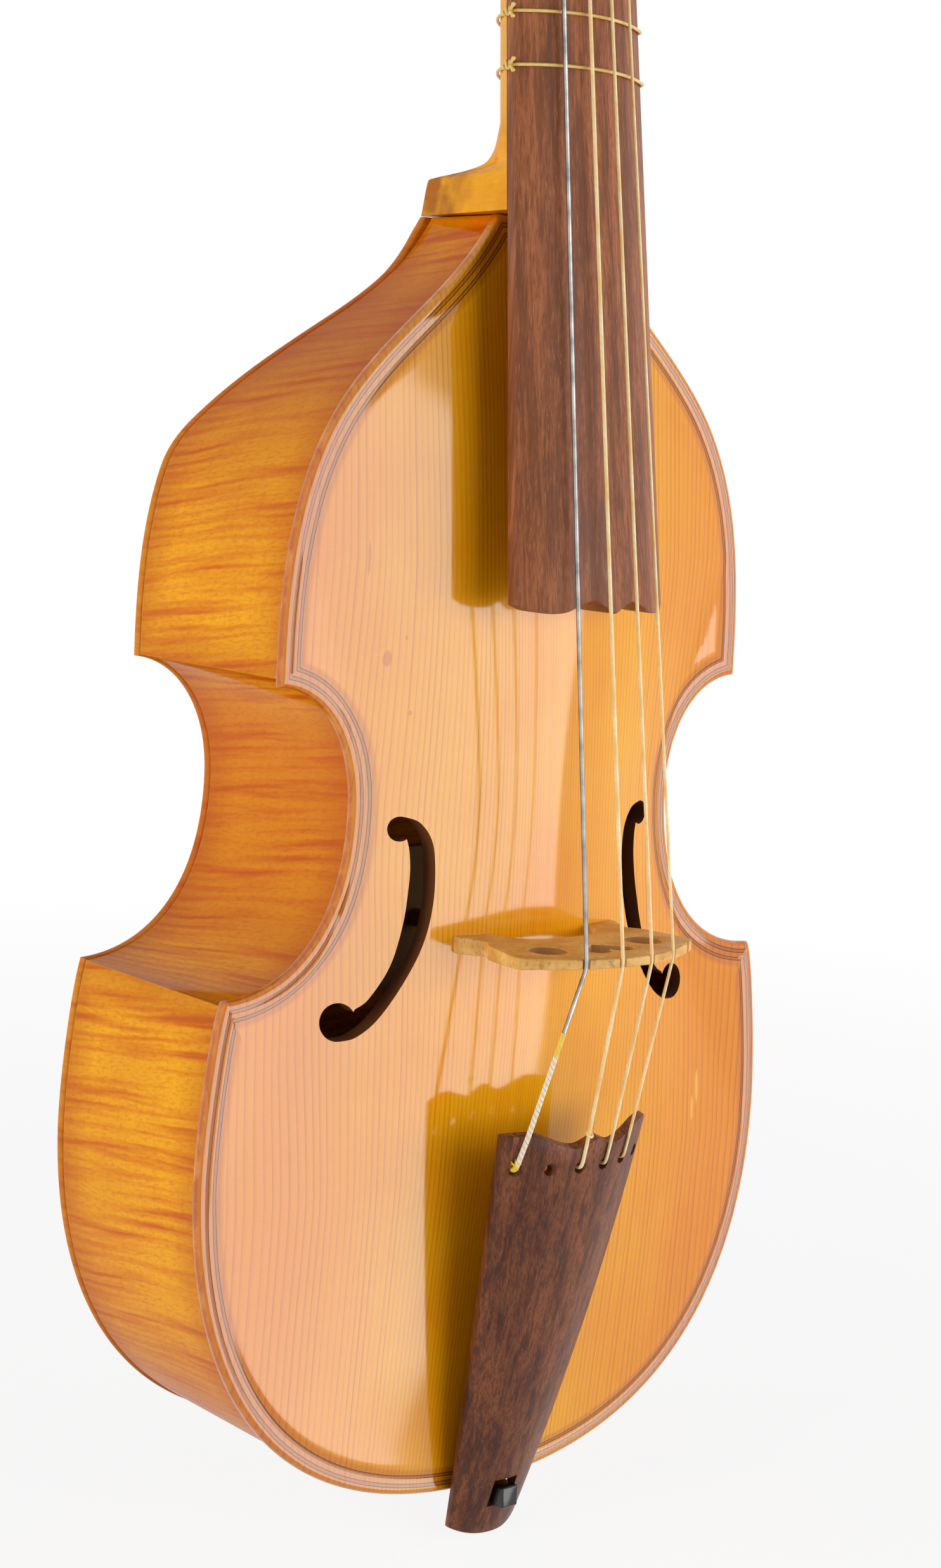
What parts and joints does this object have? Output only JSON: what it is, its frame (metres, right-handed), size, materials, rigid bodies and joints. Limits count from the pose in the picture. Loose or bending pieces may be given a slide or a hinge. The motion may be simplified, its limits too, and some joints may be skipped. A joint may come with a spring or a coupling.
{
  "type": "viola da gamba",
  "caption": "Treble viola da gamba: flat-backed bowed viol with arched belly, C-shaped sound holes, tied gut frets, pierced bridge, tailpiece, turning pegs and a carved scroll.",
  "frame": {"origin": "on the flat outer face of the back, on the centre line, level with the bridge's back edge", "axes": "+X to the treble side, +Y out of the back, -Y out of the belly, +Z along the body to the scroll"},
  "size_m": [0.2168, 0.1338, 0.6741],
  "materials": {
    "belly_spruce": "straight-grained spruce under glossy orange-brown varnish",
    "varnished_maple": "flamed maple under glossy golden-brown varnish",
    "neck_maple": "maple, varnish worn to pale yellow",
    "rosewood": "oiled rosewood with brown streaks, satin",
    "bridge_maple": "bare maple, satin",
    "ebony": "polished ebony",
    "gut": "plain gut string, slightly glossy",
    "fret_gut": "tied gut, slightly glossy",
    "silver_wound_gut": "gut wound with fine silver wire",
    "inner_wood": "bare spruce and willow, unvarnished"
  },
  "bodies": {
    "body": {"back": "varnished_maple", "back_brace_lower": "inner_wood", "back_brace_sound_post": "inner_wood", "back_brace_upper": "inner_wood", "bass_bar": "inner_wood", "belly": "belly_spruce", "bottom_block": "inner_wood", "bridge": "bridge_maple", "corner_block_lower_bass": "inner_wood", "corner_block_lower_treble": "inner_wood", "corner_block_upper_bass": "inner_wood", "corner_block_upper_treble": "inner_wood", "fingerboard": "rosewood", "hook_bar": "ebony", "lining_back_lower_bass": "inner_wood", "lining_back_lower_treble": "inner_wood", "lining_back_upper_bass": "inner_wood", "lining_back_upper_treble": "inner_wood", "lining_back_waist_bass": "inner_wood", "lining_back_waist_treble": "inner_wood", "lining_belly_lower_bass": "inner_wood", "lining_belly_lower_treble": "inner_wood", "lining_belly_upper_bass": "inner_wood", "lining_belly_upper_treble": "inner_wood", "lining_belly_waist_bass": "inner_wood", "lining_belly_waist_treble": "inner_wood", "neck_and_scroll": "neck_maple", "nut": "ebony", "rib_lower_bass": "varnished_maple", "rib_lower_treble": "varnished_maple", "rib_upper_bass": "varnished_maple", "rib_upper_treble": "varnished_maple", "rib_waist_bass": "varnished_maple", "rib_waist_treble": "varnished_maple", "sound_post": "inner_wood", "string_2": "silver_wound_gut", "string_3": "gut", "string_4": "gut", "string_5": "gut", "tailpiece": "rosewood", "top_block": "inner_wood"},
    "peg_bass_1": {"peg_bass_1": "rosewood"},
    "peg_treble_1": {"peg_treble_1": "rosewood"},
    "peg_bass_2": {"peg_bass_2": "rosewood", "string_2_winding": "silver_wound_gut"},
    "peg_treble_2": {"peg_treble_2": "rosewood", "string_5_winding": "gut"},
    "peg_bass_3": {"peg_bass_3": "rosewood", "string_3_winding": "gut"},
    "peg_treble_3": {"peg_treble_3": "rosewood", "string_4_winding": "gut"},
    "fret_1": {"fret_1": "fret_gut"},
    "fret_2": {"fret_2": "fret_gut"},
    "fret_3": {"fret_3": "fret_gut"},
    "fret_4": {"fret_4": "fret_gut"},
    "fret_5": {"fret_5": "fret_gut"},
    "fret_6": {"fret_6": "fret_gut"},
    "fret_7": {"fret_7": "fret_gut"}
  },
  "joints": [
    {"name": "peg_bass_1_turn", "type": "hinge", "parent": "body", "child": "peg_bass_1", "pos_m": [0, -0.05681, 0.38684], "axis": [-1, 0, 0], "continuous": true},
    {"name": "peg_treble_1_turn", "type": "hinge", "parent": "body", "child": "peg_treble_1", "pos_m": [0, -0.05366, 0.39945], "axis": [1, 0, 0], "continuous": true},
    {"name": "peg_bass_2_turn", "type": "hinge", "parent": "body", "child": "peg_bass_2", "pos_m": [0, -0.05052, 0.41206], "axis": [-1, 0, 0], "continuous": true},
    {"name": "peg_treble_2_turn", "type": "hinge", "parent": "body", "child": "peg_treble_2", "pos_m": [0, -0.04737, 0.42468], "axis": [1, 0, 0], "continuous": true},
    {"name": "peg_bass_3_turn", "type": "hinge", "parent": "body", "child": "peg_bass_3", "pos_m": [0, -0.04423, 0.43729], "axis": [-1, 0, 0], "continuous": true},
    {"name": "peg_treble_3_turn", "type": "hinge", "parent": "body", "child": "peg_treble_3", "pos_m": [0, -0.04108, 0.44991], "axis": [1, 0, 0], "continuous": true},
    {"name": "fret_1_slide", "type": "slide", "parent": "body", "child": "fret_1", "axis": [0, 0.1143, 0.9934], "range_m": [-0.003, 0.003]},
    {"name": "fret_2_slide", "type": "slide", "parent": "body", "child": "fret_2", "axis": [0, 0.1143, 0.9934], "range_m": [-0.003, 0.003]},
    {"name": "fret_3_slide", "type": "slide", "parent": "body", "child": "fret_3", "axis": [0, 0.1143, 0.9934], "range_m": [-0.003, 0.003]},
    {"name": "fret_4_slide", "type": "slide", "parent": "body", "child": "fret_4", "axis": [0, 0.1143, 0.9934], "range_m": [-0.003, 0.003]},
    {"name": "fret_5_slide", "type": "slide", "parent": "body", "child": "fret_5", "axis": [0, 0.1143, 0.9934], "range_m": [-0.003, 0.003]},
    {"name": "fret_6_slide", "type": "slide", "parent": "body", "child": "fret_6", "axis": [0, 0.1143, 0.9934], "range_m": [-0.003, 0.003]},
    {"name": "fret_7_slide", "type": "slide", "parent": "body", "child": "fret_7", "axis": [0, 0.1143, 0.9934], "range_m": [-0.003, 0.003]}
  ]
}
